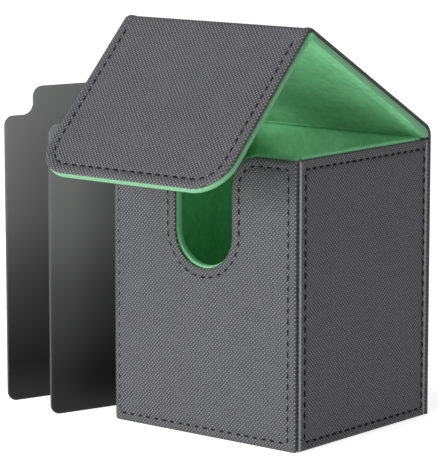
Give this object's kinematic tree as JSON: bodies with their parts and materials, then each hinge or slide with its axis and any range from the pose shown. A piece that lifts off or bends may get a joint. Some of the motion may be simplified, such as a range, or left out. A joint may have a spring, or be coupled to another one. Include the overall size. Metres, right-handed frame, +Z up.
{
  "type": "card deck box",
  "caption": "Stitched leather-cloth deck box with a suede-lined tray, a thumb notch, a hinged lid with a magnetic front flap, and loose card dividers.",
  "frame": {"origin": "middle of the tray's underside, on the surface that the box stands on", "axes": "+Z up, -Y towards the front wall with the thumb notch, +X to the right as seen from the front"},
  "size_m": [0.1292, 0.1172, 0.1416],
  "materials": {
    "leather": "satin imitation leather pressed with a fine woven pattern of raised dots",
    "board": "bare grey board",
    "suede": "short-napped green suede cloth",
    "thread": "black waxed sewing thread",
    "magnet": "nickel-plated disc",
    "plastic": "satin black plastic sheet"
  },
  "bodies": {
    "tray": {"front_cover": "leather", "front_board": "board", "front_lining": "suede", "front_seam": "thread", "front_magnet_left": "magnet", "front_magnet_right": "magnet", "left_cover": "leather", "left_board": "board", "left_lining": "suede", "left_seam": "thread", "right_cover": "leather", "right_board": "board", "right_lining": "suede", "right_seam": "thread", "back_cover": "leather", "back_board": "board", "back_lining": "suede", "base_cover": "leather", "base_board": "board", "base_lining": "suede", "strap_back_cover": "leather", "strap_back_board": "board", "strap_back_seam": "thread", "rear_hinge_web": "leather"},
    "lid": {"lid_cover": "leather", "lid_board": "board", "lid_lining": "suede", "lid_seam_left": "thread", "lid_seam_right": "thread", "ridge_hinge_web": "leather"},
    "flap": {"flap_cover": "leather", "flap_board": "board", "flap_lining": "suede", "flap_seam": "thread", "flap_magnet_left": "magnet", "flap_magnet_right": "magnet"},
    "left_divider": {"left_divider": "plastic"},
    "right_divider": {"right_divider": "plastic"}
  },
  "joints": [
    {"name": "lid_hinge", "type": "hinge", "parent": "tray", "child": "lid", "pos_m": [0, 0.0385, 0.1015], "axis": [-1, 0, 0], "range_deg": [-30, 155]},
    {"name": "flap_hinge", "type": "hinge", "parent": "lid", "child": "flap", "pos_m": [0, -0.02931, 0.14065], "axis": [-1, 0, 0], "range_deg": [-14.5, 75.5]},
    {"name": "left_divider_lift", "type": "slide", "parent": "tray", "child": "left_divider", "axis": [0, 0, 1], "range_m": [0, 0.12]},
    {"name": "right_divider_lift", "type": "slide", "parent": "tray", "child": "right_divider", "axis": [0, 0, 1], "range_m": [0, 0.12]}
  ]
}
